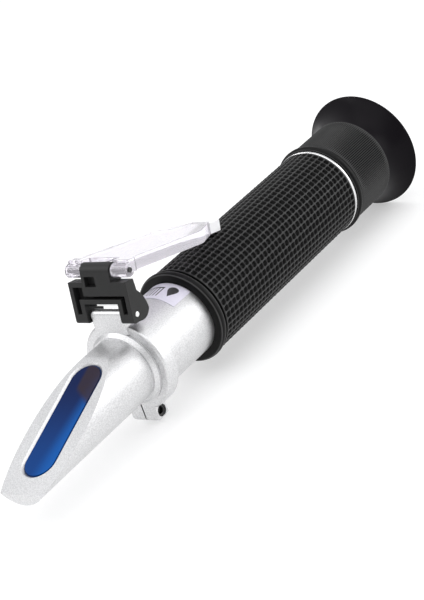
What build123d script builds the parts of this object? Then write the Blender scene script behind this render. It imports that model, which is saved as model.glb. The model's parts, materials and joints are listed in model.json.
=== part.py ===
"""Handheld refractometer with a flip-over daylight plate, in millimetres.

Every piece is drawn in the optical frame: x = 0 at the grip's front face, +X
towards the eye, z = 0 on the optical axis and +Z on the prism's side.
to_row() then moves it into the row frame, whose origin is below the middle of
the instrument, at the height of the eyecup rim's lowest point.
"""
import os
from math import cos, radians, sin, tan

from build123d import *

# ---- stations along the optical axis
TIP_X = -83.2
STEP_X = -29.75
BARREL_FRONT_X = -28.6
CLAMP_FRONT_X = -28.1
CLAMP_REAR_X = -23.2
SPIGOT_END_X = -22.0
GRIP_END_X = 82.5
BARREL_END_X = 83.5
FOCUS_FRONT_X = 83.9
FOCUS_END_X = 105.5
TUBE_END_X = 108.5
CUP_SEAT_X = 109.0
RIM_X = 115.6

# ---- radii
HEAD_R = 10.6
BARREL_R = 12.4
BARREL_BORE_R = 11.2
CLAMP_R = 14.8
GRIP_R = 15.0
GRIP_LIP_R = 15.4
TRIM_R = 15.1
FOCUS_LIP_R = 16.0
FOCUS_R = 15.3
RIM_R = 20.3
TUBE_BORE_R = 10.0

# ---- clearances
SEAT = 0.05
RUNNING = 0.06
GAP = 0.3

# ---- sloping prism face, through (STEP_X, SLOPE_Z) if it went on to the collar
SLOPE = 20.36
SLOPE_Z = 12.69
LAND_Z = 10.3
LAND_BLEND_R = 25.0
WINDOW_START = 11.45
WINDOW_LENGTH = 39.2
WINDOW_WIDTH = 11.0
WINDOW_CHAMFER = 0.6
GLASS_LEDGE = 2.2
SEAL_WIDTH = 0.4
PRISM_WIDTH = 9.4
PRISM_FLOOR_Z = -7.5
PRISM_EXIT_X = -43.5
LIGHT_BORE_R = 7.0

# ---- hinge: two pins in series, both along Y
PIN_X = -27.2
PIN_Z = 17.5
PIN_R = 0.9
ARM = 13.2
OPEN_ANGLE = 79.0
PLATE_OPEN_ANGLE = -15.0
BLOCK_HALF = 11.0
NOTCH_HALF = 6.3
NECK_HALF = 5.5
BLOCK_FRONT = 2.45
BLOCK_BACK = 1.2
CHEEK_TOP = 10.3
NOTCH_TOP = 3.7
PLATE_PIN_R = 0.8
SLOT_LOW = 5.1
SLOT_HIGH = 6.1
SPRING_LOW = 2.9
SPRING_HIGH = 4.85
SPRING_V = 1.1
SPRING_THICK = 0.5
SPRING_Y = -1.85
SPRING_HALF = 4.2

# ---- daylight plate
EAR_HALF = 11.5
EAR_R = 2.1
PLATE_CONTACT = 3.0
PLATE_BACK = 1.0
PLATE_HALF = 10.6
PLATE_SHOULDER = 37.0
PLATE_SHOULDER_HALF = 9.6
PLATE_BODY = 49.2
TAB_HALF = 3.2
TAB_LENGTH = 5.6
TAB_STEP = 0.5

# ---- clamp
TAB_WIDTH = 11.4
KNUCKLE_R = 1.5
LUG_HALF = 5.0
LUG_FOOT_Z = -18.9
SPLIT = 0.5
CLAMP_SCREW_X = -25.7
CLAMP_SCREW_Z = -16.0
CLAMP_SCREW_R = 1.25
CLAMP_HEAD_R = 1.85

# ---- calibration
CAL_X = -15.8
CAL_HEAD_R = 3.2
CAL_SCREW_R = 1.25
CAL_SEAT_Z = 11.75
OBJECTIVE_TRAVEL = 0.5
FLAT_HALF = 8.0

# ---- focusing
FOCUS_TRAVEL = 2.0
FOCUS_PIN_X = 95.0
FOCUS_PIN_R = 0.9
CELL_BORE_R = 8.6


# ---- helpers
def to_row(shape):
    """Move a shape from the optical frame to the row frame."""
    middle_x = (TIP_X + RIM_X) / 2
    return Pos(-middle_x, 0, RIM_R) * shape


def tube(start, end, outer, inner=0.0):
    """A tube on the optical axis, or a rod when inner is 0."""
    ring = Circle(outer)
    if inner > 0:
        ring -= Circle(inner)
    return extrude(Plane.YZ.offset(start) * ring, amount=end - start)


def turned(*outline):
    """Revolve a closed outline of (x, radius) corners about the optical axis."""
    return revolve(Plane.XZ * make_face(Polyline(*outline, close=True)), Axis.X)


def turned_edges(*edges):
    """Revolve a closed outline of lines and arcs, in (x, radius), about the optical axis."""
    return revolve(Plane.XZ * make_face(edges), Axis.X)


def torus(x, ring_radius, cord_radius):
    """An O-ring on the optical axis."""
    return Pos(x, 0, 0) * Rot(0, 90, 0) * Torus(ring_radius, cord_radius)


def across(x, z, radius, low, high):
    """A rod along Y from low to high."""
    return extrude(Plane.XZ * Pos(x, z) * Circle(radius), amount=high - low, dir=(0, 1, 0)).moved(Pos(0, low, 0))


def upright(x, y, radius, low, high):
    """A rod along Z from low to high."""
    return Pos(x, y, low) * extrude(Circle(radius), amount=high - low)


def block(x, y, z):
    """A box from three (low, high) pairs."""
    size = [high - low for low, high in (x, y, z)]
    middle = [(high + low) / 2 for low, high in (x, y, z)]
    return Pos(*middle) * Box(*size)


def lens(x, radius, thickness, front_bulge, back_bulge):
    """A biconvex lens whose edge starts at x."""
    end = x + thickness
    front = ThreePointArc((x, -radius), (x - front_bulge, 0), (x, radius))
    back = ThreePointArc((end, radius), (end + back_bulge, 0), (end, -radius))
    outline = make_face([front, Line((x, radius), (end, radius)), back, Line((end, -radius), (x, -radius))])
    upper = outline & Pos(x, radius) * Rectangle(8 * thickness, 2 * radius)
    return revolve(Plane.XZ * upper, Axis.X)


# ---- frames of the sloping face and of the hinge
SLOPE_PLANE = Plane(
    origin=(STEP_X, 0, SLOPE_Z),
    x_dir=(-cos(radians(SLOPE)), 0, -sin(radians(SLOPE))),
    z_dir=(-sin(radians(SLOPE)), 0, cos(radians(SLOPE))),
)
WINDOW_CENTRE = WINDOW_START + WINDOW_LENGTH / 2


def hinge_frame(angle, origin):
    """A plane square to Y whose first axis points at angle, from +X towards +Z."""
    direction = (cos(radians(angle)), 0, sin(radians(angle)))
    return Plane(origin=origin, x_dir=direction, z_dir=(0, -1, 0))


BLOCK_PLANE = hinge_frame(OPEN_ANGLE, (PIN_X, 0, PIN_Z))
PLATE_PIN_X = PIN_X + ARM * cos(radians(OPEN_ANGLE))
PLATE_PIN_Z = PIN_Z + ARM * sin(radians(OPEN_ANGLE))
PLATE_PLANE = hinge_frame(PLATE_OPEN_ANGLE, (PLATE_PIN_X, 0, PLATE_PIN_Z))


def slab(plane, face, half_width):
    """Extrude a face drawn in a hinge frame by half_width to both sides."""
    return extrude(plane * face, amount=half_width, both=True)


def box_face(low_u, high_u, low_v, high_v):
    """A rectangle in a hinge frame, u along its first axis and v along its second."""
    return Pos((low_u + high_u) / 2, (low_v + high_v) / 2) * Rectangle(high_u - low_u, high_v - low_v)


def side_box(plane, face, low_y, high_y):
    """Extrude a face drawn in a hinge frame from low_y to high_y."""
    middle = (low_y + high_y) / 2
    return Pos(0, middle, 0) * slab(plane, face, (high_y - low_y) / 2)


# ---- prism head
def slope_cutter():
    """What the sloping face and the level land behind it take off the head."""
    slope = tan(radians(SLOPE))
    bend_x = STEP_X - (SLOPE_Z - LAND_Z) / slope
    tangent = LAND_BLEND_R * tan(radians(SLOPE / 2))
    slope_end = (bend_x - tangent * cos(radians(SLOPE)), LAND_Z - tangent * sin(radians(SLOPE)))
    land_start = (bend_x + tangent, LAND_Z)
    ahead_x = TIP_X - 2
    ahead = (ahead_x, SLOPE_Z + slope * (ahead_x - STEP_X))
    top_z = SLOPE_Z + 2 * HEAD_R
    edges = [
        Line(ahead, slope_end),
        TangentArc(slope_end, land_start, tangent=(cos(radians(SLOPE)), sin(radians(SLOPE)))),
        Polyline(land_start, (STEP_X, LAND_Z), (STEP_X, top_z), (ahead_x, top_z), ahead),
    ]
    return extrude(Plane.XZ * make_face(edges), amount=2 * HEAD_R, both=True)


def window_slot(margin, depth_start, depth_end):
    """A round-ended slot in the sloping face, narrower than the window by margin all round."""
    outline = SlotOverall(WINDOW_LENGTH - 2 * margin, WINDOW_WIDTH - 2 * margin)
    sketch = SLOPE_PLANE.offset(-depth_end) * Pos(WINDOW_CENTRE, 0) * outline
    return extrude(sketch, amount=depth_end - depth_start)


def prism_wedge(margin):
    """The wedge below the glass ledge, grown by margin."""
    start = WINDOW_START + 3
    end = WINDOW_START + WINDOW_LENGTH - 2
    face = Pos((start + end) / 2, 0) * Rectangle(end - start + 2 * margin, PRISM_WIDTH + 2 * margin)
    column = extrude(SLOPE_PLANE.offset(-GLASS_LEDGE) * face, amount=-4 * HEAD_R)
    room = block((TIP_X, PRISM_EXIT_X + margin), (-HEAD_R, HEAD_R), (PRISM_FLOOR_Z - margin, HEAD_R))
    return column & room


def prism_housing():
    nose = tube(TIP_X, STEP_X, HEAD_R)
    collar = turned((STEP_X, 0), (STEP_X, HEAD_R + 0.4), (BARREL_FRONT_X, 12.0), (BARREL_FRONT_X, 0))
    spigot = tube(BARREL_FRONT_X, SPIGOT_END_X, BARREL_BORE_R - SEAT)
    body = nose - slope_cutter() + collar + spigot
    groove_x = (BARREL_FRONT_X + SPIGOT_END_X) / 2
    body -= tube(groove_x - 0.7, groove_x + 0.7, BARREL_R, BARREL_BORE_R - 1.2)
    body -= tube(PRISM_EXIT_X, SPIGOT_END_X, LIGHT_BORE_R)
    rim = Pos(WINDOW_CENTRE, 0) * SlotOverall(WINDOW_LENGTH + 2 * WINDOW_CHAMFER, WINDOW_WIDTH + 2 * WINDOW_CHAMFER)
    body -= extrude(SLOPE_PLANE * rim, amount=-WINDOW_CHAMFER, taper=45)
    body -= window_slot(0, 0, GLASS_LEDGE)
    return body - prism_wedge(SEAT)


def main_prism():
    return window_slot(SEAL_WIDTH, WINDOW_CHAMFER / 2, GLASS_LEDGE) + prism_wedge(0)


def prism_seal():
    outer = window_slot(SEAT, WINDOW_CHAMFER, GLASS_LEDGE - SEAT)
    return outer - window_slot(SEAL_WIDTH - SEAT, 0, GLASS_LEDGE)


def light_mask():
    mask = tube(-39.8, -39.0, LIGHT_BORE_R - SEAT)
    return mask - block((-41, -38), (-3.5, 3.5), (-4.5, 4.5))


def front_o_ring():
    groove_x = (BARREL_FRONT_X + SPIGOT_END_X) / 2
    return torus(groove_x, BARREL_BORE_R - 0.62, 0.55)


# ---- clamp that carries the hinge
def clamp_tab():
    """The upright tab with the hinge's knuckle, rounded at its top corners."""
    front = PIN_X - KNUCKLE_R
    back = PIN_X + KNUCKLE_R
    top = PIN_Z + KNUCKLE_R
    half = TAB_WIDTH / 2
    body = block((front, back), (-half, half), (BARREL_R, PIN_Z)) + across(PIN_X, PIN_Z, KNUCKLE_R, -half, half)
    outline = Pos(0, (BARREL_R + top) / 2) * RectangleRounded(TAB_WIDTH, top - BARREL_R, 1.4)
    root = block((front, back), (-half - 0.3, half + 0.3), (BARREL_R - 1, BARREL_R + 3))
    return (body & extrude(Plane.YZ.offset(front - 1) * outline, amount=6)) + root


def clamp_lug():
    """The split lug below, with chamfered lower corners and a rounded back."""
    corner = 1.2
    outline = Polyline(
        (-LUG_HALF, -BARREL_R),
        (-LUG_HALF, LUG_FOOT_Z + corner),
        (-LUG_HALF + corner, LUG_FOOT_Z),
        (LUG_HALF - corner, LUG_FOOT_Z),
        (LUG_HALF, LUG_FOOT_Z + corner),
        (LUG_HALF, -BARREL_R),
        close=True,
    )
    body = extrude(Plane.YZ.offset(CLAMP_FRONT_X) * make_face(outline), amount=CLAMP_REAR_X - CLAMP_FRONT_X)
    height = -BARREL_R - LUG_FOOT_Z + 4
    side = Pos((CLAMP_FRONT_X + CLAMP_REAR_X) / 2, LUG_FOOT_Z + height / 2)
    rounded = side * RectangleRounded(CLAMP_REAR_X - CLAMP_FRONT_X, height, 1.6)
    return body & extrude(Plane.XZ * rounded, amount=2 * LUG_HALF, both=True)


def clamp_ring():
    bore = BARREL_R + 0.02
    front_round = 0.9
    start = (CLAMP_FRONT_X, CLAMP_R - front_round)
    crest = (CLAMP_FRONT_X + front_round, CLAMP_R)
    ring = turned_edges(
        TangentArc(start, crest, tangent=(0, 1)),
        Polyline(crest, (CLAMP_REAR_X, CLAMP_R), (CLAMP_REAR_X, bore), (CLAMP_FRONT_X, bore), start),
    )
    body = ring + (clamp_tab() + clamp_lug() - tube(TIP_X, BARREL_END_X, bore))
    body -= block((TIP_X, 0), (-SPLIT / 2, SPLIT / 2), (2 * LUG_FOOT_Z, 0))
    body -= across(PIN_X, PIN_Z, PIN_R, -BLOCK_HALF, BLOCK_HALF)
    body -= across(CLAMP_SCREW_X, CLAMP_SCREW_Z, CLAMP_SCREW_R, -LUG_HALF - 1, LUG_HALF - 0.8)
    return body - across(CLAMP_SCREW_X, CLAMP_SCREW_Z, CLAMP_HEAD_R + SEAT, -LUG_HALF - 1, -LUG_HALF + 2.4)


def clamp_screw():
    head_end = -LUG_HALF + 0.5
    head = across(CLAMP_SCREW_X, CLAMP_SCREW_Z, CLAMP_HEAD_R, head_end, -LUG_HALF + 2.4)
    shank = across(CLAMP_SCREW_X, CLAMP_SCREW_Z, CLAMP_SCREW_R - 0.01, head_end, LUG_HALF - 1)
    hexagon = Plane.XZ.offset(-head_end) * Pos(CLAMP_SCREW_X, CLAMP_SCREW_Z) * RegularPolygon(1.25, 6)
    return head + shank - extrude(hexagon, amount=1.3, dir=(0, 1, 0))


def hinge_pin():
    return across(PIN_X, PIN_Z, PIN_R - 0.01, -BLOCK_HALF + 0.1, BLOCK_HALF - 0.1)


# ---- hinge block, drawn with u up the arm and v towards the prism
def cheek_outline():
    """Side outline of a cheek: flat front, short top, and a rounded bulge behind the pin."""
    corner = 0.9
    foot = -2.3
    front_low = (foot + corner, BLOCK_FRONT)
    foot_front = (foot, BLOCK_FRONT - corner)
    foot_back = (foot, -0.9)
    bulge = (0.2, -5.35)
    kink = (6.7, -1.7)
    top_back = (CHEEK_TOP, -BLOCK_BACK)
    top_front = (CHEEK_TOP, BLOCK_FRONT)
    return make_face([
        Line(front_low, top_front),
        Line(top_front, top_back),
        Line(top_back, kink),
        ThreePointArc(kink, (3.9, -4.1), bulge),
        ThreePointArc(bulge, (-1.7, -3.9), foot_back),
        Line(foot_back, foot_front),
        ThreePointArc(foot_front, (foot + corner * 0.293, BLOCK_FRONT - corner * 0.293), front_low),
    ])


def front_pocket(low_u, high_u, low_y, high_y, depth=2.6):
    """A pocket in the block's front face."""
    return side_box(BLOCK_PLANE, box_face(low_u, high_u, BLOCK_FRONT - depth, BLOCK_FRONT + 1), low_y, high_y)


def hinge_block():
    body = slab(BLOCK_PLANE, cheek_outline(), BLOCK_HALF)
    body -= slab(BLOCK_PLANE, box_face(-5, NOTCH_TOP, -8, 8), NOTCH_HALF)
    body += slab(BLOCK_PLANE, box_face(NOTCH_TOP - 1.3, NOTCH_TOP + 1, -BLOCK_BACK, 0.2), BLOCK_HALF - 2.6)
    body -= slab(BLOCK_PLANE, box_face(NOTCH_TOP - 2, CHEEK_TOP + 1, -8, -BLOCK_BACK), BLOCK_HALF - 2.6)
    neck = box_face(CHEEK_TOP - 2, ARM, -BLOCK_FRONT, BLOCK_FRONT) + Pos(ARM, 0) * Circle(BLOCK_FRONT)
    body += slab(BLOCK_PLANE, neck, NECK_HALF)
    rib = NOTCH_HALF + 1.6
    wall = BLOCK_HALF - 1.5
    body -= front_pocket(0.6, SLOT_HIGH, rib, wall)
    body -= front_pocket(0.6, SLOT_HIGH, -wall, -rib)
    body -= front_pocket(SLOT_LOW, SLOT_HIGH, -wall, wall)
    body -= front_pocket(SLOT_HIGH - 0.1, CHEEK_TOP - 1.5, NECK_HALF + 0.4, wall)
    body -= front_pocket(8.9, 12.0, 0.4, 4.4, depth=2.0)
    leaf_slot = box_face(SPRING_LOW, SPRING_HIGH + 0.05, SPRING_V - 0.02, SPRING_V + SPRING_THICK + 0.02)
    body -= side_box(BLOCK_PLANE, leaf_slot, SPRING_Y - SPRING_HALF - 0.05, SPRING_Y + SPRING_HALF + 0.05)
    body -= across(PIN_X, PIN_Z, PIN_R + RUNNING, -BLOCK_HALF - 1, BLOCK_HALF + 1)
    return body - across(PLATE_PIN_X, PLATE_PIN_Z, PLATE_PIN_R, -BLOCK_HALF, BLOCK_HALF)


def hinge_spring():
    """Leaf spring let into the block, whose lower edge shows above the knuckle."""
    leaf = box_face(SPRING_LOW, SPRING_HIGH, SPRING_V, SPRING_V + SPRING_THICK)
    return side_box(BLOCK_PLANE, leaf, SPRING_Y - SPRING_HALF, SPRING_Y + SPRING_HALF)


def plate_pin():
    return across(PLATE_PIN_X, PLATE_PIN_Z, PLATE_PIN_R - 0.01, -EAR_HALF - 0.4, EAR_HALF - 0.2)


# ---- daylight plate, drawn with u along the plate and v towards its contact face
def daylight_plate():
    tip = PLATE_BODY + TAB_LENGTH
    outline = Polyline(
        (0, -PLATE_HALF),
        (PLATE_SHOULDER, -PLATE_SHOULDER_HALF),
        (PLATE_BODY, -TAB_HALF),
        (tip, -TAB_HALF + 0.4),
        (tip, TAB_HALF - 0.4),
        (PLATE_BODY, TAB_HALF),
        (PLATE_SHOULDER, PLATE_SHOULDER_HALF),
        (0, PLATE_HALF),
        close=True,
    )
    face_plane = Plane(origin=PLATE_PLANE.origin, x_dir=PLATE_PLANE.x_dir, z_dir=PLATE_PLANE.y_dir)
    body = extrude(face_plane.offset(-PLATE_BACK) * make_face(outline), amount=PLATE_BACK + PLATE_CONTACT)
    step = box_face(PLATE_BODY, tip + 1, PLATE_CONTACT - TAB_STEP, PLATE_CONTACT + 1)
    body -= slab(PLATE_PLANE, step, PLATE_HALF)
    body += slab(PLATE_PLANE, Circle(EAR_R), EAR_HALF)
    ear_web = box_face(0, EAR_R + 1.2, -PLATE_BACK, PLATE_CONTACT)
    body += slab(PLATE_PLANE, ear_web, EAR_HALF)
    notch = box_face(-4, BLOCK_FRONT + 0.5, -4, 4)
    body -= slab(PLATE_PLANE, notch, NECK_HALF + GAP)
    return body - across(PLATE_PIN_X, PLATE_PIN_Z, PLATE_PIN_R + RUNNING, -EAR_HALF - 1, EAR_HALF + 1)


# ---- barrel and what is on it
def barrel_tube():
    body = tube(BARREL_FRONT_X, BARREL_END_X, BARREL_R, BARREL_BORE_R)
    body -= upright(CAL_X, 0, CAL_HEAD_R + 0.3, CAL_SEAT_Z, BARREL_R + 1)
    return body - upright(CAL_X, 0, CAL_SCREW_R + RUNNING, 0, BARREL_R)


def label_plate():
    ring = tube(-9.3, -0.3, BARREL_R + 0.15, BARREL_R + 0.01)
    wedge = Polyline((0, 0), (-24, 28), (24, 28), close=True)
    return ring & extrude(Plane.YZ.offset(-12) * make_face(wedge), amount=14)


def calibration_screw():
    head = upright(CAL_X, 0, CAL_HEAD_R, CAL_SEAT_Z + RUNNING, BARREL_R + 0.7)
    shank = upright(CAL_X, 0, CAL_SCREW_R, 6.6, BARREL_R)
    slot = block((CAL_X - 0.45, CAL_X + 0.45), (-5, 5), (BARREL_R, BARREL_R + 2))
    return head + shank - slot


def calibration_clip():
    """The clip under the barrel wall that keeps the screw from rising."""
    return upright(CAL_X, 0, 2.2, 10.4, 10.7) - upright(CAL_X, 0, CAL_SCREW_R + RUNNING, 10, 11)


def grip_sleeve():
    bore = BARREL_R + 0.02
    lip_start = (0, GRIP_LIP_R - 1.2)
    lip_front = (1.2, GRIP_LIP_R)
    lip_back = (2.0, GRIP_LIP_R)
    groove_front = (2.8, GRIP_R - 0.8)
    return turned_edges(
        TangentArc(lip_start, lip_front, tangent=(0, 1)),
        Line(lip_front, lip_back),
        Line(lip_back, groove_front),
        Polyline(groove_front, (3.4, GRIP_R - 0.8), (3.8, GRIP_R), (GRIP_END_X, GRIP_R)),
        Polyline((GRIP_END_X, GRIP_R), (GRIP_END_X, bore), (0, bore), lip_start),
    )


def trim_ring():
    return tube(GRIP_END_X + 0.02, BARREL_END_X, TRIM_R, BARREL_R + 0.02)


# ---- optics in the barrel
def guide_ring():
    """Fixed ring whose two flats let the objective carrier move only up and down."""
    window = Circle(10.4) & Rectangle(2 * (FLAT_HALF + RUNNING), 4 * HEAD_R)
    face = Circle(BARREL_BORE_R - SEAT) - window
    return extrude(Plane.YZ.offset(-20.6) * face, amount=2.4)


def objective_carrier():
    """Flat-sided plate on the guide's flats, with the boss that the calibration screw turns in."""
    face = Circle(9.6) & Rectangle(2 * FLAT_HALF, 4 * HEAD_R)
    plate = extrude(Plane.YZ.offset(-20.4) * face, amount=2.0) - tube(-21, -18, 5.6)
    boss = block((-18.4, CAL_X + 2.4), (-2.6, 2.6), (6.9, 9.4))
    return plate + boss - upright(CAL_X, 0, CAL_SCREW_R + RUNNING, 0, BARREL_R)


def bimetal_strip():
    """Temperature-compensating strip that carries the objective's ring below the boss."""
    return block((-18.4, -3.0), (-2.0, 2.0), (-9.3, -8.7)) - upright(-4.6, 0, 1.01, -12, -6)


def bimetal_screw():
    return upright(-4.6, 0, 1.0, -9.8, -8.7 + 1.4) + upright(-4.6, 0, 1.7, -10.2, -9.3)


def objective_ring():
    """Ring of the objective lens, with the foot that the strip is screwed to."""
    ring = tube(-8.0, -1.6, 7.9, 6.6) - tube(-6.2, -1.0, 7.1)
    foot = block((-6.6, -2.6), (-2.6, 2.6), (-8.68, -7.4)) - tube(-9, 0, 7.5)
    return ring + foot - upright(-4.6, 0, 1.01, -12, -6.9)


def objective_lens():
    return lens(-6.0, 7.05, 1.6, 0.9, 1.1)


def objective_retainer():
    return tube(-3.2, -1.8, 7.05, 6.0)


def light_tube():
    return tube(1.0, 61.0, BARREL_BORE_R - SEAT, 10.4)


def field_stop():
    return tube(30.0, 31.0, 10.35, 7.0)


def reticle_holder():
    return tube(61.1, 66.6, BARREL_BORE_R - SEAT, 8.0) - tube(62.6, 67.0, 9.6)


def reticle():
    return tube(62.65, 64.15, 9.5)


def reticle_ring():
    return tube(64.2, 66.0, 9.55, 8.2)


# ---- eyepiece
def eyepiece_tube():
    spigot = tube(67.0, BARREL_END_X, BARREL_BORE_R - SEAT, TUBE_BORE_R)
    body = spigot + tube(BARREL_END_X, TUBE_END_X, BARREL_R, TUBE_BORE_R)
    body -= tube(85.6, 86.6, BARREL_R + 1, BARREL_R - 0.85)
    slot_half = FOCUS_TRAVEL + FOCUS_PIN_R + 0.2
    slot = block(
        (FOCUS_PIN_X - slot_half, FOCUS_PIN_X + slot_half),
        (-FOCUS_PIN_R - RUNNING, FOCUS_PIN_R + RUNNING),
        (-BARREL_R - 1, 0),
    )
    return body - slot


def focus_o_ring():
    return torus(86.1, BARREL_R - 0.41, 0.4)


def focus_retainer():
    """Ring at the tube's end that keeps the focus ring on it."""
    return tube(FOCUS_END_X + 0.4, FOCUS_END_X + 1.6, 13.4, BARREL_R + 0.01)


def focus_ring():
    bore = BARREL_R + RUNNING
    lip_start = (FOCUS_FRONT_X, FOCUS_LIP_R - 1.0)
    lip_front = (FOCUS_FRONT_X + 1.0, FOCUS_LIP_R)
    lip_back = (87.0, FOCUS_LIP_R)
    body = turned_edges(
        TangentArc(lip_start, lip_front, tangent=(0, 1)),
        Polyline(lip_front, lip_back, (87.5, 14.7), (88.1, 14.7), (88.4, FOCUS_R), (FOCUS_END_X, FOCUS_R)),
        Polyline((FOCUS_END_X, FOCUS_R), (FOCUS_END_X, 14.6), (CUP_SEAT_X, 14.6), (CUP_SEAT_X, 13.7)),
        Polyline((CUP_SEAT_X, 13.7), (FOCUS_END_X, 13.7), (FOCUS_END_X, bore), (FOCUS_FRONT_X, bore), lip_start),
    )
    recess_half = FOCUS_TRAVEL + FOCUS_PIN_R + 0.3
    return body - tube(FOCUS_PIN_X - recess_half, FOCUS_PIN_X + recess_half, 13.6)


def eyecup():
    """Flared rubber cup pushed over the focus ring's spigot."""
    neck = (FOCUS_END_X + 0.05, 15.1)
    rim_outer = (RIM_X - 0.5, RIM_R)
    rim_back = (RIM_X, RIM_R - 0.5)
    rim_inner = (RIM_X, 19.2)
    throat = (110.2, 13.4)
    bore = 14.62
    return turned_edges(
        ThreePointArc(neck, (111.0, 16.9), rim_outer),
        ThreePointArc(rim_outer, (RIM_X - 0.146, RIM_R - 0.146), rim_back),
        Line(rim_back, rim_inner),
        ThreePointArc(rim_inner, (113.2, 15.6), throat),
        Polyline(throat, (CUP_SEAT_X + 0.02, 13.4), (CUP_SEAT_X + 0.02, bore), (neck[0], bore), neck),
    )


def lens_cell():
    body = tube(86.0, 106.0, TUBE_BORE_R - RUNNING, CELL_BORE_R) + tube(86.0, 87.4, TUBE_BORE_R - RUNNING, 7.6)
    return body - across_down(FOCUS_PIN_X, FOCUS_PIN_R, 8.0, 11.0)


def across_down(x, radius, inner, outer):
    """A rod that points down from the optical axis."""
    return upright(x, 0, radius, -outer, -inner)


def guide_pin():
    return across_down(FOCUS_PIN_X, FOCUS_PIN_R - 0.01, 8.9, 13.2)


def field_lens():
    return lens(88.4, CELL_BORE_R - SEAT, 2.0, 0.8, 0.8)


def lens_spacer():
    return tube(90.6, 97.9, CELL_BORE_R - SEAT, 8.0)


def eye_lens():
    return lens(98.1, CELL_BORE_R - SEAT, 3.0, 1.2, 1.2)


def lens_retainer():
    return tube(101.3, 103.4, CELL_BORE_R - SEAT, 8.0)


PIECES = [
    prism_housing,
    main_prism,
    prism_seal,
    light_mask,
    front_o_ring,
    clamp_ring,
    clamp_screw,
    hinge_pin,
    hinge_block,
    hinge_spring,
    plate_pin,
    daylight_plate,
    barrel_tube,
    label_plate,
    calibration_screw,
    calibration_clip,
    grip_sleeve,
    trim_ring,
    guide_ring,
    objective_carrier,
    bimetal_strip,
    bimetal_screw,
    objective_ring,
    objective_lens,
    objective_retainer,
    light_tube,
    field_stop,
    reticle_holder,
    reticle,
    reticle_ring,
    eyepiece_tube,
    focus_o_ring,
    focus_retainer,
    focus_ring,
    eyecup,
    lens_cell,
    guide_pin,
    field_lens,
    lens_spacer,
    eye_lens,
    lens_retainer,
]

os.makedirs("parts", exist_ok=True)
for piece in PIECES:
    export_step(to_row(piece()), f"parts/{piece.__name__}.step")
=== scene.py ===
# %% [markdown]
# # A handheld refractometer
#
# The instrument is an aluminium tube with a sloping prism at one end and an eyepiece at the other. A
# clear daylight plate folds over the prism on a small black hinge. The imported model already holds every
# part at its real size, so this notebook gives each part its finish and softens the edges that a machined
# or moulded part never has perfectly sharp. It makes three parts anew: the grip and the focus ring, whose
# surfaces are patterns, and the eyecup, whose flare is a curve.

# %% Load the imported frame
import json
import math

import bmesh
import bpy
import numpy as np
from mathutils import Matrix, Vector


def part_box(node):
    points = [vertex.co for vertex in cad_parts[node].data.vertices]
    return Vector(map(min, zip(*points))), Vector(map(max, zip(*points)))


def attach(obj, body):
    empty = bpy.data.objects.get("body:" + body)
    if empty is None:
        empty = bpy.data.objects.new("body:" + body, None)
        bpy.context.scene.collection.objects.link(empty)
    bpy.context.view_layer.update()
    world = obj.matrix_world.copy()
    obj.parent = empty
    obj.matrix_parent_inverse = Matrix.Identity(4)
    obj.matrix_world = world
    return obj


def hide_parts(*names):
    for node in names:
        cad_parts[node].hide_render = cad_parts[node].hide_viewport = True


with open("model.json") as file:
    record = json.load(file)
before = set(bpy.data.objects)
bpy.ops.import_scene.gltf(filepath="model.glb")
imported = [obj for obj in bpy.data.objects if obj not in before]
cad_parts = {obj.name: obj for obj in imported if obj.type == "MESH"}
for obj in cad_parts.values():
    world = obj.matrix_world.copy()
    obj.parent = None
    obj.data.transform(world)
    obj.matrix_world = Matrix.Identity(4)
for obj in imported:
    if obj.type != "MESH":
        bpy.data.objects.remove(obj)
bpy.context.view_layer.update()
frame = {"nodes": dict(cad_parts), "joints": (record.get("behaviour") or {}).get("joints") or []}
NODES = frame["nodes"]
MM = 0.001

# %% [markdown]
# ## Where things are
#
# Everything turned on the lathe shares one axis. Its height is the middle of the barrel, and lengths
# along it are counted from the grip's front face. Working in millimetres from that point keeps the
# numbers readable.

# %% The optical axis
GRIP_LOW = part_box("grip_sleeve")[0]
BARREL_LOW, BARREL_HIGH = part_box("barrel_tube")
ORIGIN = np.array([GRIP_LOW[0], 0.0, (BARREL_LOW[2] + BARREL_HIGH[2]) / 2])
BARREL_R = (BARREL_HIGH[2] - BARREL_LOW[2]) / 2 / MM


def station(node, end):
    """Distance of a node's front (end 0) or rear (end 1) from the grip's front face, in millimetres."""
    return (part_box(node)[end][0] - ORIGIN[0]) / MM


def radius(node):
    """Largest radius of a part turned about the optical axis, in millimetres."""
    low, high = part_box(node)
    return (high[1] - low[1]) / 2 / MM


print("barrel radius", round(BARREL_R, 2), "grip from 0 to", round(station("grip_sleeve", 1), 2))

# %% [markdown]
# ## Surfaces from arrays
#
# A turned part is a closed outline of distance and radius, carried round the axis. Working the whole
# surface out as one array lets the radius depend on both the place along the outline and the angle, which
# is what a grid of pits or a ring of fine ribs needs. Sculpting or displacing a dense cylinder would give
# the same picture, but the array gives clean rows of faces that follow the pattern exactly.


# %% A closed grid of faces
def grid_mesh(name, points):
    """Mesh of a (rows, columns, 3) array in metres, closed on itself both ways, with faces outwards."""
    rows, columns = points.shape[:2]
    row, column = np.meshgrid(np.arange(rows), np.arange(columns), indexing="ij")
    next_row, next_column = (row + 1) % rows, (column + 1) % columns
    corners = [(row, column), (next_row, column), (next_row, next_column), (row, next_column)]
    faces = np.stack([r * columns + c for r, c in corners], axis=-1).reshape(-1, 4)
    flat = points.reshape(-1, 3)
    a, b, c, d = (flat[faces[:, k]] - flat.mean(axis=0) for k in range(4))
    volume = np.einsum("ij,ij->", a, np.cross(b, c)) + np.einsum("ij,ij->", a, np.cross(c, d))
    if volume < 0:
        faces = faces[:, ::-1]
    mesh = bpy.data.meshes.new(name)
    mesh.from_pydata(flat.tolist(), [], faces.tolist())
    mesh.update()
    return mesh


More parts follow.
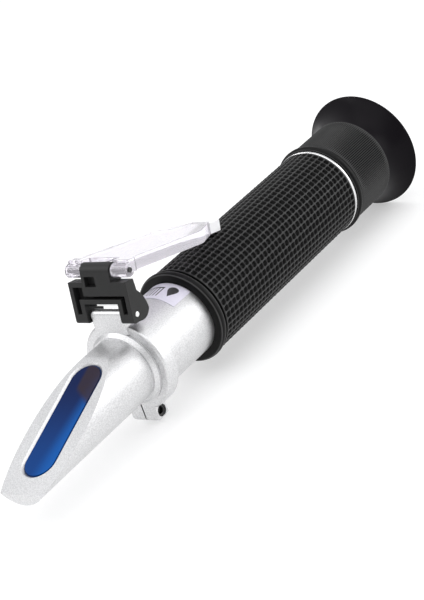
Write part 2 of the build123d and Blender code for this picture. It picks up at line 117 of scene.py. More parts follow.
def turned_surface(name, x, r, angles):
    """Closed outline x, r (r may differ at each angle) carried round the axis: (x, r cos, r sin)."""
    r = np.broadcast_to(r if r.ndim == 2 else r[:, None], (len(x), len(angles)))
    x = np.broadcast_to(x[:, None], r.shape)
    points = np.stack([x, r * np.cos(angles), r * np.sin(angles)], axis=-1)
    return grid_mesh(name, points * MM + ORIGIN)


def put(name, mesh, body, slot, *nodes, sharp=35.0):
    """Place a mesh on a body instead of the nodes, smooth except at edges over sharp degrees."""
    mesh.polygons.foreach_set("use_smooth", np.ones(len(mesh.polygons), dtype=bool))
    mesh.set_sharp_from_angle(angle=math.radians(sharp))
    piece = bpy.data.objects.new(name, mesh)
    bpy.context.scene.collection.objects.link(piece)
    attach(piece, body)
    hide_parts(*nodes)
    return piece


def along(*pieces):
    """Join stretches of an outline, each an (n, 2) array of x and r."""
    return np.concatenate(pieces)


def line(start, end, count):
    """Evenly spaced points from start up to, not including, end."""
    return np.linspace(start, end, count, endpoint=False)


def arc(centre, size, start, end, count):
    """Points on a circle or ellipse from one angle up to, not including, the other, in degrees."""
    turn = np.radians(line(start, end, count))
    return np.stack([centre[0] + size[0] * np.cos(turn), centre[1] + size[1] * np.sin(turn)], axis=-1)


# %% [markdown]
# ## Shader maths as plain expressions
#
# A node tree is a formula, so it reads best as one. A Wire stands for a socket, and adding or multiplying
# wires adds the Math nodes. A Finish is one material: its node method makes any other node from its type,
# its settings and the values or wires of its sockets.


# %% Wires and finishes
class Wire:
    """A socket that takes part in arithmetic."""

    def __init__(self, finish, socket):
        self.finish = finish
        self.socket = socket

    def math(self, operation, *others):
        """A Math node with this wire first."""
        values = dict(enumerate((self, *others)))
        return self.finish.node("ShaderNodeMath", {"operation": operation}, values)

    def __add__(self, other):
        return self.math("ADD", other)

    def __sub__(self, other):
        return self.math("SUBTRACT", other)

    def __rsub__(self, other):
        return self.finish.node("ShaderNodeMath", {"operation": "SUBTRACT"}, {0: other, 1: self})

    def __mul__(self, other):
        return self.math("MULTIPLY", other)

    def __truediv__(self, other):
        return self.math("DIVIDE", other)

    def below(self, limit, soft):
        """1 where this is below limit, 0 above it, with an edge soft wide."""
        ends = {"From Min": limit - soft / 2, "From Max": limit + soft / 2, "To Min": 1.0, "To Max": 0.0}
        return self.finish.node(
            "ShaderNodeMapRange", {"interpolation_type": "SMOOTHSTEP"}, {"Value": self, **ends})

    def above(self, limit, soft):
        """1 where this is above limit, 0 below it."""
        return 1 - self.below(limit, soft)

    __radd__ = __add__
    __rmul__ = __mul__


class Finish:
    """One procedural material, read in object coordinates."""

    def __init__(self, name):
        self.material = bpy.data.materials.new(name)
        self.material.use_nodes = True
        self.tree = self.material.node_tree
        self.tree.nodes.clear()
        self.place = self.node("ShaderNodeTexCoord", {}, {}, "Object")

    def node(self, kind, settings, sockets, output=0):
        """Make a node, its settings first, then its sockets, and give one output as a wire."""
        made = self.tree.nodes.new(kind)
        for key, value in settings.items():
            setattr(made, key, value)
        for key, value in sockets.items():
            if isinstance(value, Wire):
                self.tree.links.new(value.socket, made.inputs[key])
            else:
                made.inputs[key].default_value = value
        return Wire(self, made.outputs[output])

    def shader(self, **sockets):
        """A Principled shader. Underscores in the names stand for spaces."""
        named = {key.replace("_", " "): value for key, value in sockets.items()}
        return self.node("ShaderNodeBsdfPrincipled", {}, named)

    def done(self, surface):
        """Join the surface to the output and give the material."""
        output = self.tree.nodes.new("ShaderNodeOutputMaterial")
        self.tree.links.new(surface.socket, output.inputs["Surface"])
        return self.material

    def noise(self, scale, detail=3.0, stretch=(1.0, 1.0, 1.0)):
        """Noise with scale features per metre, drawn out where stretch is small."""
        place = self.node("ShaderNodeMapping", {}, {"Vector": self.place, "Scale": stretch})
        sockets = {"Vector": place, "Scale": scale, "Detail": detail}
        return self.node("ShaderNodeTexNoise", {}, sockets, "Fac")

    def blend(self, factor, first, second):
        """Mix of two colours."""
        return self.node("ShaderNodeMix", {"data_type": "RGBA"}, {0: factor, 6: first, 7: second}, 2)

    def bump(self, height, depth):
        """Bump whose full height is depth metres."""
        return self.node("ShaderNodeBump", {}, {"Height": height, "Distance": depth, "Strength": 1.0})

    def axis(self, direction, origin=(0.0, 0.0, 0.0)):
        """Distance in millimetres from origin along a direction."""
        kind = "ShaderNodeVectorMath"
        away = self.node(kind, {"operation": "SUBTRACT"}, {0: self.place, 1: origin})
        return self.node(kind, {"operation": "DOT_PRODUCT"}, {0: away, 1: direction}, "Value") / MM


def grey(value, tint=(0.0, 0.0, 0.0)):
    """A near-neutral colour."""
    return (value + tint[0], value + tint[1], value + tint[2], 1.0)


print("shader helpers ready")

# %% [markdown]
# ## Metals
#
# The head, barrel and clamp are aluminium, blasted with fine glass beads and clear anodised, so they
# shine softly and evenly. A fine bump, a slight sparkle in the colour and a slow drift of roughness do
# this. The trim ring, pins and leaf spring are bright turned steel, and the two screws are blackened.


# %% Metal finishes
COOL = (0.0, 0.0, 0.006)


def blasted_aluminium():
    """Even satin metal: bead marks near 0.4 mm apart in the colour, the gloss and the bump."""
    finish = Finish("blasted_aluminium")
    drift = finish.noise(60.0)
    beads = finish.noise(2700.0, 3.0)
    speckle = drift * 0.3 + beads.above(0.5, 0.36) * 0.7
    colour = finish.blend(speckle, grey(0.56, COOL), grey(0.78, COOL))
    return finish.done(finish.shader(
        Base_Color=colour, Metallic=1.0, Roughness=0.34 + drift * 0.06 + beads * 0.08,
        Normal=finish.bump(beads, 0.000045)))


def turned_metal(name, low, high, rough):
    """Turned or drawn metal: fine rings round the optical axis."""
    finish = Finish(name)
    rings = finish.noise(900.0, 2.0, (6.0, 0.15, 0.15))
    colour = finish.blend(rings, low, high)
    return finish.done(finish.shader(
        Base_Color=colour, Metallic=1.0, Roughness=rough + rings * 0.12,
        Normal=finish.bump(rings, 0.000006)))


ALUMINIUM = blasted_aluminium()
STEEL = turned_metal("bright_steel", grey(0.72), grey(0.86), 0.16)
BLACKENED = turned_metal("blackened_steel", grey(0.045), grey(0.085), 0.30)
ANODISED = turned_metal("black_anodised", grey(0.018), grey(0.030), 0.42)
BRASS = turned_metal("turned_brass", (0.60, 0.42, 0.16, 1.0), (0.78, 0.58, 0.27, 1.0), 0.24)
print("metals:", ", ".join(metal.name for metal in (ALUMINIUM, STEEL, BLACKENED, ANODISED, BRASS)))


def bimetal():
    """Brass on the upper side of the strip, nickel steel on the lower."""
    finish = Finish("bimetal_layers")
    low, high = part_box("bimetal_strip")
    upper = finish.axis((0, 0, 1), (0, 0, (low[2] + high[2]) / 2)).above(0.0, 0.02)
    grain = finish.noise(1500.0, 2.0, (0.2, 3.0, 3.0))
    colour = finish.blend(upper, grey(0.62), (0.70, 0.50, 0.22, 1.0))
    return finish.done(finish.shader(Base_Color=colour, Metallic=1.0, Roughness=0.26 + grain * 0.15))


# %% [markdown]
# ## Black plastic and rubber
#
# Four blacks sit side by side here, and they only read as separate parts if each has its own gloss. The
# hinge is moulded nylon with a faint texture. The grip is moulded rubber, with a greyer painted highlight
# along its ridges and near-black painted shade in its pits. The focus ring is a satin plastic with the same
# painted highlight and shade on its ribs, and the eyecup is smooth dark rubber.


# %% Black finishes
def moulded(name, low, high, rough, grain, depth, tint=(0.0, 0.0, 0.0), shine=0.26):
    """A moulded black: slow colour drift, and a fine texture of grain features per metre."""
    finish = Finish(name)
    drift = finish.noise(180.0)
    texture = finish.noise(grain, 2.0)
    return finish.done(finish.shader(
        Base_Color=finish.blend(drift, grey(low, tint), grey(high, tint)),
        Roughness=rough + drift * 0.06 + texture * 0.06, Specular_IOR_Level=shine,
        Normal=finish.bump(texture, depth)))


def ridged_black(name, crest_r, highlight_low, highlight_high, rough):
    """Black with crests at radius crest_r: a greyer painted highlight on them, near-black painted shade
    below.

    The mask compares y² + z² with the square of a radius just under the crests and one just over them.
    """
    finish = Finish(name)
    across = finish.axis((0, 1, 0), tuple(ORIGIN))
    up = finish.axis((0, 0, 1), tuple(ORIGIN))
    squared = across * across + up * up
    # Painted light: the crest band is greyer as a painted highlight; the hollows below are near-black
    # painted shade.
    crest = squared.above((crest_r - 0.17) ** 2, 6.0) * squared.below((crest_r + 0.15) ** 2, 2.0)
    drift = finish.noise(180.0)
    texture = finish.noise(2600.0, 2.0)
    # Colours of the painted highlight on the crests.
    crest_highlight = finish.blend(drift, grey(highlight_low), grey(highlight_high))
    return finish.done(finish.shader(
        Base_Color=finish.blend(crest, grey(0.0015), crest_highlight),
        Roughness=rough - crest * 0.08 + texture * 0.06,
        Specular_IOR_Level=0.15, Normal=finish.bump(texture, 0.000015)))


NYLON = moulded("hinge_nylon", 0.012, 0.019, 0.38, 3600.0, 0.000012)
# Both ridged blacks carry a painted highlight on their crests and painted shade in their hollows.
GRIP_RUBBER = ridged_black("grip_rubber", radius("grip_sleeve") - 0.4, 0.038, 0.062, 0.40)
FOCUS_PLASTIC = ridged_black("focus_plastic", radius("focus_ring") - 0.7, 0.030, 0.046, 0.38)
CUP_RUBBER = moulded("cup_rubber", 0.0025, 0.0045, 0.26, 2400.0, 0.000005, (0.001, 0.0, 0.0015), 0.07)
SEAL_RUBBER = moulded("seal_rubber", 0.008, 0.014, 0.45, 2000.0, 0.000006)
PRISM_CEMENT = moulded("prism_cement", 0.006, 0.010, 0.20, 2000.0, 0.000004, (0.002, 0.022, 0.095), 0.1)
LIGHT_BLACK = moulded("light_trap_black", 0.008, 0.012, 0.75, 3000.0, 0.000010)
BLACKS = (NYLON, GRIP_RUBBER, FOCUS_PLASTIC, CUP_RUBBER, SEAL_RUBBER, PRISM_CEMENT, LIGHT_BLACK)
print("blacks:", ", ".join(black.name for black in BLACKS))

# %% [markdown]
# ## Glass and clear plastic
#
# The daylight plate is clear acrylic with a faint lavender cast, and its thumb tab is frosted. One mask
# along the plate's length mixes the two shaders. The prism is deep blue, brightest towards the tip where
# light reaches it, and brownish at the rear corner where the cement shows through. Its colour is painted
# by place, because a truly clear blue block over a dark pocket would look black.


# %% Clear and coloured finishes
PLATE_PIVOT = tuple(next(joint for joint in frame["joints"] if joint["name"] == "plate_hinge")["pos_m"])
PLATE_SLOPE = math.radians(15.0)
PLATE_DIRECTION = (math.cos(PLATE_SLOPE), 0.0, -math.sin(PLATE_SLOPE))
TAB_START = 49.2  # millimetres from the pivot, where the frosted tab begins


def daylight_acrylic():
    """Clear up to the tab and frosted beyond it."""
    finish = Finish("daylight_acrylic")
    distance = finish.axis(PLATE_DIRECTION, PLATE_PIVOT)
    frosted = distance.above(TAB_START, 0.15)
    flow = finish.noise(40.0, 2.0, (0.4, 1.0, 1.0))
    clear = finish.shader(
        Base_Color=finish.blend(flow, (0.93, 0.90, 0.97, 1.0), (0.97, 0.94, 0.99, 1.0)),
        Roughness=0.03 + flow * 0.03, IOR=1.40, Transmission_Weight=0.84)
    frost_grain = finish.noise(5000.0, 2.0)
    frost = finish.shader(
        Base_Color=finish.blend(frost_grain, grey(0.95, (0, 0, 0.01)), grey(0.98, (0, 0, 0.01))),
        Roughness=0.5 + frost_grain * 0.1, IOR=1.49, Transmission_Weight=0.2,
        Normal=finish.bump(frost_grain, 0.00001))
    return finish.done(finish.node("ShaderNodeMixShader", {}, {0: frosted, 1: clear, 2: frost}))


def prism_blue():
    """Blue that brightens towards the tip and one side, with a brown patch of cement at the rear.

    back runs from 0 at the prism's front to 1 at its rear, and side from -1 to 1 across it.
    """
    finish = Finish("prism_blue")
    low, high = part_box("main_prism")
    length = (high[0] - low[0]) / MM
    half_width = 5.0
    back = finish.axis((1, 0, 0), (low[0], 0, 0)) / length
    side = finish.axis((0, -1, 0)) / half_width
    deep = finish.blend(back.below(0.45, 0.9), (0.006, 0.014, 0.065, 1.0), (0.007, 0.045, 0.190, 1.0))
    lit = finish.blend((side - back * 0.8).above(0.25, 1.2), deep, (0.008, 0.085, 0.330, 1.0))
    cement = (back + side * 0.10).above(0.75, 0.07) * side.above(-0.25, 0.30) * 0.9
    cloud = finish.noise(220.0)
    colour = finish.blend(cement * (0.75 + cloud * 0.4), lit, (0.034, 0.024, 0.030, 1.0))
    return finish.done(finish.shader(
        Base_Color=colour, Roughness=0.06 + cloud * 0.03, Specular_IOR_Level=0.05))


def coated_glass(name, tint):
    """Optical glass with the faint cast of its coating."""
    finish = Finish(name)
    haze = finish.noise(90.0)
    return finish.done(finish.shader(
        Base_Color=finish.blend(haze, tint, grey(0.97)), Roughness=0.01 + haze * 0.02, IOR=1.52,
        Transmission_Weight=1.0))


def reticle_glass():
    """Clear disc with an engraved upright scale of fine lines."""
    finish = Finish("reticle_scale")
    height = finish.axis((0, 0, 1), tuple(ORIGIN))
    width = finish.axis((0, 1, 0))
    inside = (height * height).below(36.0, 0.5)
    ticks = height.math("PINGPONG", 0.25).below(0.035, 0.01) * (width * width).below(2.2, 0.1) * inside
    stem = (width * width).below(0.004, 0.002) * inside
    ink = ticks.math("MAXIMUM", stem)
    return finish.done(finish.shader(
        Base_Color=finish.blend(ink, grey(0.97), grey(0.02)), Roughness=0.02 + ink * 0.4, IOR=1.52,
        Transmission_Weight=1.0))


ACRYLIC = daylight_acrylic()
PRISM_BLUE = prism_blue()
OPTICAL_GLASS = coated_glass("coated_lens", (0.90, 0.96, 0.93, 1.0))
RETICLE_GLASS = reticle_glass()
CLEAR = (ACRYLIC, PRISM_BLUE, OPTICAL_GLASS, RETICLE_GLASS)
print("clear finishes:", ", ".join(clear.name for clear in CLEAR))

# %% [markdown]
# ## Label
#
# A lavender film is stuck to the barrel just ahead of the grip. The print on it is generic: a droplet and
# a short row of scale ticks. It is drawn by formula from the angle round the barrel and the distance
# along it, so the marks follow the curve.


# %% Label finish
LINE_EDGE = 0.06
SCALE_FROM, SCALE_TO = -1.5, 6.3
TICK_HALF_PITCH, TICK_HALF_WIDTH = 0.6, 0.22
DROP_TURN, DROP_LENGTH, DROP_SIZE = -4.6, 0.5, 1.4


def printed_label():
    """Film with ticks hanging from a base line, and beside them a droplet, in millimetres on the film.

    The droplet is every place where (turn / width)² + length² / 1.9 stays under 1.7. Its width grows evenly
    along its length, which draws one end out to a point.
    """
    finish = Finish("printed_label")
    low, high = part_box("label_plate")
    middle = ((low[0] + high[0]) / 2, 0.0, 0.0)
    length = finish.axis((1, 0, 0), middle)
    across = finish.axis((0, 1, 0), tuple(ORIGIN))
    up = finish.axis((0, 0, 1), tuple(ORIGIN))
    turn = across.math("ARCTAN2", up) * BARREL_R

    def stretch(distance, start, end):
        return distance.above(start, LINE_EDGE) * distance.below(end, LINE_EDGE)

    band = stretch(turn, SCALE_FROM, SCALE_TO)
    repeat = turn.math("PINGPONG", TICK_HALF_PITCH)
    ticks = repeat.below(TICK_HALF_WIDTH, 0.05) * stretch(length, -2.9, 1.6) * band
    base = stretch(length, 1.6, 2.2) * band
    drop_turn = (turn - DROP_TURN) / DROP_SIZE
    drop_length = (length - DROP_LENGTH) / DROP_SIZE
    pinch = (drop_length * 0.36 + 0.75).math("MAXIMUM", 0.05)
    round_drop = drop_turn * drop_turn / (pinch * pinch) + drop_length * drop_length / 1.9
    drop = round_drop.below(1.7, 0.25)
    ink = ticks.math("MAXIMUM", base).math("MAXIMUM", drop)
    fibre = finish.noise(1400.0, 2.0)
    film = finish.blend(fibre, (0.66, 0.64, 0.74, 1.0), (0.74, 0.72, 0.81, 1.0))
    return finish.done(finish.shader(
        Base_Color=finish.blend(ink, film, grey(0.015)), Roughness=0.34 + fibre * 0.08 - ink * 0.06))


LABEL = printed_label()
print("label:", LABEL.name)

# %% [markdown]
# ## Grip
#
# The rubber sleeve has a smooth rounded lip at the front, a dark groove, and then rows of square pits
# between thin raised ridges. A bump map would leave the outline smooth, and on the real grip the outline
# is visibly toothed, so the pits are real. The depth is the product of two distances, one from the
# nearest ridge along the axis and one from the nearest ridge round it, each growing until it reaches a
# flat floor. The ridges round the grip stand a little lower, and the lines along it dip slightly between
# crossings.


# %% Grip sleeve
PITS_ROUND = 44
PIT_ROWS = 36
PIT_STEPS = np.array([0.0, 0.11, 0.33, 0.56, 0.78])
RIDGE_SHARE = 0.11
PIT_DEPTH = 0.8
CREST_DROP = 0.4
FLOOR_SHARE = 0.45
RING_DROP = 0.22
TOOTH_DROP = 0.07
PATTERN_START = 3.9
PATTERN_MARGIN = 0.35


def pit_reach(share):
    """Distance from the ridge as a share of the half pit, for a place given as a share of one cell."""
    across_pit = (share - RIDGE_SHARE) / (1 - RIDGE_SHARE)
    return np.clip(1 - np.abs(2 * across_pit - 1), 0, 1) * (share >= RIDGE_SHARE)


def grip_mesh():
    """The sleeve as one outline: front lip, pitted band, rear edge and bore.

    radius = crest - PIT_DEPTH * hollow - TOOTH_DROP * (1 - from_line) * from_ring, where
    hollow = from_line * (RING_DROP + (1 - RING_DROP) * from_ring).
    """
    end = station("grip_sleeve", 1)
    lip_r = radius("grip_sleeve")
    crest = lip_r - CREST_DROP
    bore = BARREL_R + 0.02
    pitch = (end - PATTERN_MARGIN - PATTERN_START) / PIT_ROWS
    rows = (np.arange(PIT_ROWS)[:, None] + PIT_STEPS).ravel()
    columns = (np.arange(PITS_ROUND)[:, None] + PIT_STEPS).ravel()
    angles = columns / PITS_ROUND * 2 * np.pi
    pattern_x = PATTERN_START + rows * pitch
    front = along(
        line((0, bore), (0, lip_r - 1.2), 3),
        arc((1.2, lip_r - 1.2), (1.2, 1.2), 180, 90, 6),
        line((1.2, lip_r), (2.0, lip_r), 2),
        np.array([(2.45, lip_r - 0.35), (2.75, crest - 0.8), (3.35, crest - 0.85), (3.6, crest - 0.15)]),
    )
    back = np.array([
        (end - PATTERN_MARGIN, crest), (end - 0.1, crest - 0.08), (end, crest - 0.35), (end, bore)])
    bottom = line((end, bore), (0, bore), 4)[1:]
    from_ring = np.clip(pit_reach(rows % 1.0) / FLOOR_SHARE, 0, 1)[:, None]
    from_line = np.clip(pit_reach(columns % 1.0) / FLOOR_SHARE, 0, 1)[None, :]
    hollow = from_line * (RING_DROP + (1 - RING_DROP) * from_ring)
    pits = crest - PIT_DEPTH * hollow - TOOTH_DROP * (1 - from_line) * from_ring
    plain = [np.repeat(part[:, 1:2], len(angles), axis=1) for part in (front, back, bottom)]
    x = np.concatenate([front[:, 0], pattern_x, back[:, 0], bottom[:, 0]])
    r = np.concatenate([plain[0], pits, plain[1], plain[2]])
    print("grip pitch", round(pitch, 3), "mm along,", round(2 * np.pi * crest / PITS_ROUND, 3), "mm round")
    return turned_surface("grip", x, r, angles)


grip = put("grip", grip_mesh(), "barrel", "black_rubber", "grip_sleeve", sharp=24.0)
grip.data.materials.append(GRIP_RUBBER)
print("grip faces:", len(grip.data.polygons))

# %% [markdown]
# ## Focus ring
#
# A black plastic ring with a smooth rounded lip against the trim ring, a narrow groove, and then fine
# ribs along the axis for the fingers. The ribs are cut with the same idea: the radius dips by a small
# depth between crests, and the dips fade out at both ends of the ribbed band.


# %% Focus ring
RIBS = 144
RIB_DEPTH = 0.34
RIB_STEPS = 4
RIB_CREST_DROP = 0.7
BAND_START = 3.0
BAND_FADE = 0.4
SPIGOT_R = 14.6
SPIGOT_BORE_R = 13.7


def focus_ring_mesh():
    """radius = outline - RIB_DEPTH * ribbed * (1 - cos(RIBS * angle)) / 2"""
    start = station("focus_ring", 0)
    end = station("eyecup", 0)
    lip_r = radius("focus_ring")
    crest = lip_r - RIB_CREST_DROP
    bore = BARREL_R + 0.06
    spigot_end = station("focus_ring", 1)
    angles = np.arange(RIBS * RIB_STEPS) / (RIBS * RIB_STEPS) * 2 * np.pi
    outline = along(
        line((start, bore), (start, lip_r - 1.0), 3),
        arc((start + 1.0, lip_r - 1.0), (1.0, 1.0), 180, 90, 6),
        line((start + 1.0, lip_r), (start + 1.9, lip_r - 0.1), 3),
        np.array([(start + 2.15, lip_r - 0.4), (start + 2.3, crest - 0.55), (start + 2.75, crest - 0.55),
                  (start + 2.9, crest - 0.2)]),
        line((start + 3.2, crest), (end - 0.55, crest), 14),
        np.array([(end - 0.5, crest), (end - 0.15, crest), (end, crest - 0.15), (end, SPIGOT_R)]),
        np.array([
            (spigot_end, SPIGOT_R), (spigot_end, SPIGOT_BORE_R), (end, SPIGOT_BORE_R), (end, bore)]),
    )
    x, r = outline.T
    fade_in = np.clip((x - start - BAND_START) / BAND_FADE, 0, 1)
    fade_out = np.clip((end - 0.25 - x) / BAND_FADE, 0, 1)
    ribbed = fade_in * fade_out * (r > crest - 0.1)
    dip = 0.5 - 0.5 * np.cos(RIBS * angles)
    return turned_surface("focus_ring_ribbed", x, r[:, None] - RIB_DEPTH * ribbed[:, None] * dip, angles)


focus = put("focus_ring_ribbed", focus_ring_mesh(), "focus_ring", "black_plastic", "focus_ring", sharp=50.0)
focus.data.materials.append(FOCUS_PLASTIC)
print("focus ring faces:", len(focus.data.polygons))

# %% [markdown]
# ## Eyecup
#
# A soft cup that flares to about a third wider than the focus ring. Its outside is a slightly hollow
# cone, its rim is rounded, and inside it narrows to a throat round the eye lens. An outline of two bowed
# lines and two small arcs describes it, so it is turned like the others.


# %% Eyecup
ROUND_STEPS = 160
FOOT_R = 15.1
SOCKET_R = 14.62
THROAT_R = 13.4
THROAT_REAR = 5.4
THROAT_FRONT = 6.58


def bowed(start, end, bow, count):
    """A line from start up to end that bows sideways by bow at its middle, as a parabola."""
    share = line(0.0, 1.0, count)[:, None]
    start, end = np.array(start), np.array(end)
    along_line = end - start
    normal = np.array([-along_line[1], along_line[0]]) / np.hypot(*along_line)
    return start + share * along_line + normal * bow * 4 * share * (1 - share)


def eyecup_mesh():
    """The outline runs from the foot along the flare, over the rim, to the throat and the socket."""
    start = station("eyecup", 0)
    end = station("eyecup", 1)
    rim = radius("eyecup")
    outline = along(
        bowed((start, FOOT_R), (end - 0.9, rim - 0.12), -0.95, 22),
        arc((end - 0.7, rim - 0.7), (0.7, 0.7), 105, 0, 8),
        line((end, rim - 0.7), (end, rim - 1.0), 2),
        arc((end - 0.3, rim - 1.0), (0.3, 0.3), 0, -60, 3),
        bowed((end - 0.4, rim - 1.35), (end - THROAT_REAR, THROAT_R), -0.45, 18),
        line((end - THROAT_REAR, THROAT_R), (end - THROAT_FRONT, THROAT_R), 2),
        line((end - THROAT_FRONT, THROAT_R), (end - THROAT_FRONT, SOCKET_R), 2),
        line((end - THROAT_FRONT, SOCKET_R), (start, SOCKET_R), 3),
        line((start, SOCKET_R), (start, FOOT_R), 2),
    )
    angles = np.arange(ROUND_STEPS) / ROUND_STEPS * 2 * np.pi
    return turned_surface("eyecup_flared", outline[:, 0], outline[:, 1], angles)


cup = put("eyecup_flared", eyecup_mesh(), "focus_ring", "cup_rubber", "eyecup")
cup.data.materials.append(CUP_RUBBER)
print("eyecup faces:", len(cup.data.polygons))

# %% [markdown]
# ## Parts with softened edges
#
# A machined or moulded edge always has a tiny radius, and the thin line of light along it is what makes a
# part look solid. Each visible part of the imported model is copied, its loose triangles are joined up, and
# a Bevel modifier rounds only the sharp edges. Weighted normals keep the flat faces flat beside the
# rounding. The copy stands in for the part and rides on the same body.


# %% Softened copies
def joined_copy(node, name):
    """The node's mesh with its triangles joined and flat areas made one face."""
    work = bmesh.new()
    work.from_mesh(NODES[node].data)
    bmesh.ops.remove_doubles(work, verts=work.verts, dist=2e-6)
    bmesh.ops.dissolve_limit(work, angle_limit=math.radians(0.2), verts=work.verts, edges=work.edges)
    mesh = bpy.data.meshes.new(name)
    work.to_mesh(mesh)
    work.free()
    return mesh


def softened(node, material, body, slot, width):
    """A copy of the node with its sharp edges rounded to width millimetres."""
    name = node + "_soft"
    piece = put(name, joined_copy(node, name), body, slot, node)
    piece.data.materials.append(material)
    bevel = piece.modifiers.new("edge_round", "BEVEL")
    bevel.width = width * MM
    bevel.segments = 2
    bevel.limit_method = "ANGLE"
    bevel.angle_limit = math.radians(32)
    weighted = piece.modifiers.new("flat_faces_stay_flat", "WEIGHTED_NORMAL")
    weighted.keep_sharp = True
    return piece


# Node, finish, body, slot and width of the rounding in millimetres.
SOFTENED = [
    ("prism_housing", ALUMINIUM, "barrel", "satin_metal", 0.36),
    ("clamp_ring", ALUMINIUM, "barrel", "satin_metal", 0.22),
    ("barrel_tube", ALUMINIUM, "barrel", "satin_metal", 0.12),
    ("trim_ring", STEEL, "barrel", "bright_steel", 0.2),
    ("label_plate", LABEL, "barrel", "label", 0.03),
    ("clamp_screw", BLACKENED, "barrel", "dark_steel", 0.12),
    ("hinge_pin", STEEL, "barrel", "bright_steel", 0.15),
    ("main_prism", PRISM_BLUE, "barrel", "blue_glass", 0.06),
    ("hinge_block", NYLON, "hinge_block", "black_plastic", 0.22),
    ("hinge_spring", STEEL, "hinge_block", "bright_steel", 0.08),
    ("plate_pin", BLACKENED, "hinge_block", "dark_steel", 0.12),
    ("daylight_plate", ACRYLIC, "daylight_plate", "clear_plastic", 0.18),
    ("calibration_screw", BLACKENED, "calibration_screw", "dark_steel", 0.15),
]
for node, material, body, slot, width in SOFTENED:
    piece = softened(node, material, body, slot, width)
    print(piece.name, "faces:", len(piece.data.polygons))

# %% [markdown]
# ## Seals and inner parts
#
# The seals, lenses, spacers, reticle and temperature strip are mostly hidden, and some show through the
# eye lens. Their shapes are right as packed, so they only take a finish.

# %% Finishes for the inner parts
INNER = {
    LIGHT_BLACK: ["light_mask", "light_tube", "field_stop"],
    PRISM_CEMENT: ["prism_seal"],
    SEAL_RUBBER: ["front_o_ring", "focus_o_ring"],
    ANODISED: ["guide_ring", "objective_ring", "objective_retainer", "reticle_holder", "reticle_ring",
               "eyepiece_tube", "focus_retainer", "lens_cell", "lens_spacer", "lens_retainer"],
    OPTICAL_GLASS: ["objective_lens", "field_lens", "eye_lens"],
    RETICLE_GLASS: ["reticle"],
    STEEL: ["calibration_clip", "bimetal_screw", "guide_pin"],
    BRASS: ["objective_carrier"],
    bimetal(): ["bimetal_strip"],
}
for material, names in INNER.items():
    for name in names:
        NODES[name].data.materials.clear()
        NODES[name].data.materials.append(material)
print("inner parts finished:", sum(len(names) for names in INNER.values()))

# %% [markdown]
# ## Floor and light
#
# The instrument lies on its eyecup's rim on a pale floor that glows a little, so its shadow stays faint.
# One broad light above gives the soft sheen along the tube, a narrow one from the left lifts the black
# parts, and a low one on the right brightens the flank. Metal shows what is round it, so the surround
# matters as much as the lights: it is dim at the horizon and bright overhead.


# %% Floor, surround and lights
FLOOR_HALF = 3.0
SURROUND_TINT = (0.98, 0.985, 1.0, 1.0)
HORIZON_STRENGTH, OVERHEAD_STRENGTH = 0.48, 0.96


def pale_floor():
    mesh = bpy.data.meshes.new("floor")
    corners = [(FLOOR_HALF * x, FLOOR_HALF * y, 0) for x, y in ((-1, -1), (1, -1), (1, 1), (-1, 1))]
    mesh.from_pydata(corners, [], [(0, 1, 2, 3)])
    floor = bpy.data.objects.new("floor", mesh)
    bpy.context.scene.collection.objects.link(floor)
    finish = Finish("pale_floor")
    fleck = finish.noise(30.0)
    mesh.materials.append(finish.done(finish.shader(
        Base_Color=finish.blend(fleck, grey(0.60), grey(0.62)), Roughness=0.8, Specular_IOR_Level=0.2,
        Emission_Color=(1.0, 1.0, 1.0, 1.0), Emission_Strength=0.42)))


def soft_light(name, place, target, size, power):
    """A rectangular area light at place, turned to face target."""
    data = bpy.data.lights.new(name, "AREA")
    data.shape = "RECTANGLE"
    data.size, data.size_y = size
    data.energy = power
    lamp = bpy.data.objects.new(name, data)
    lamp.location = place
    away = Vector(place) - Vector(target)
    lamp.rotation_euler = away.to_track_quat("Z", "Y").to_euler()
    bpy.context.scene.collection.objects.link(lamp)


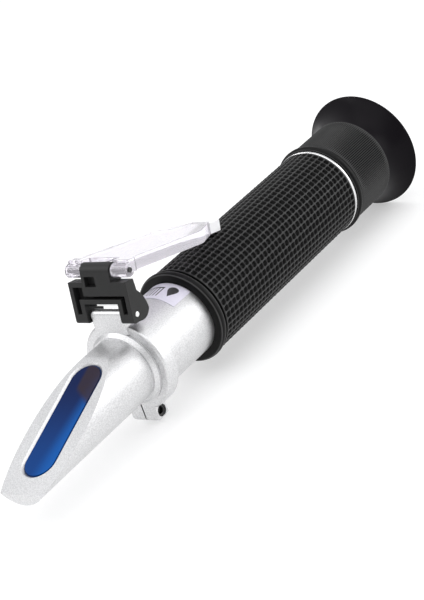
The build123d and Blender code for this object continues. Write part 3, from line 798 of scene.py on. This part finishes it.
def surround():
    """A world whose strength rises with height, the Z of the direction looked in."""
    world = bpy.data.worlds.new("surround")
    world.use_nodes = True
    nodes, links = world.node_tree.nodes, world.node_tree.links
    background = nodes["Background"]
    background.inputs["Color"].default_value = SURROUND_TINT
    direction = nodes.new("ShaderNodeTexCoord")
    split = nodes.new("ShaderNodeSeparateXYZ")
    brighter_up = nodes.new("ShaderNodeMapRange")
    brighter_up.inputs["From Min"].default_value = 0.05
    brighter_up.inputs["From Max"].default_value = 0.75
    brighter_up.inputs["To Min"].default_value = HORIZON_STRENGTH
    brighter_up.inputs["To Max"].default_value = OVERHEAD_STRENGTH
    links.new(direction.outputs["Generated"], split.inputs["Vector"])
    links.new(split.outputs["Z"], brighter_up.inputs["Value"])
    links.new(brighter_up.outputs["Result"], background.inputs["Strength"])
    bpy.context.scene.world = world


pale_floor()
surround()
soft_light("key_above", (-0.10, -0.20, 0.75), (0, 0, 0), (1.1, 0.9), 3.0)
soft_light("strip_left", (-0.35, 0.50, 0.50), (0.05, 0, 0.03), (0.12, 0.7), 1.3)
soft_light("fill_right", (0.55, -0.50, 0.22), (0, 0, 0.03), (0.9, 0.45), 2.2)
bpy.context.scene.view_settings.view_transform = "Standard"

# %% [markdown]
# ## Camera
#
# The view looks down at the prism end from the front right, with the camera rolled so that the tube runs
# steeply up the frame. A long lens keeps the perspective mild.

# %% Camera
HEADING = math.radians(42.15)
TILT = math.radians(-22.955)
ROLL = math.radians(-19.49)
CAMERA_PLACE = ORIGIN + np.array([-378.631, -357.679, 222.855]) * MM
LENS = 112.72
SENSOR = 36.0

flat = math.cos(TILT)
forward = np.array([math.cos(HEADING) * flat, math.sin(HEADING) * flat, math.sin(TILT)])
level = np.array([math.sin(HEADING), -math.cos(HEADING), 0.0])
upward = np.cross(level, forward)
right = math.cos(ROLL) * level + math.sin(ROLL) * upward
above = np.cross(right, forward)
camera = bpy.data.objects.new("camera", bpy.data.cameras.new("camera"))
camera.data.lens = LENS
camera.data.sensor_width = SENSOR
camera.data.clip_start = 0.01
columns = np.column_stack([right, above, -forward])
camera.matrix_world = Matrix.Translation(CAMERA_PLACE) @ Matrix(columns.tolist()).to_4x4()
bpy.context.scene.collection.objects.link(camera)
bpy.context.scene.camera = camera
print("camera:", round(camera.data.lens, 1), "mm lens")
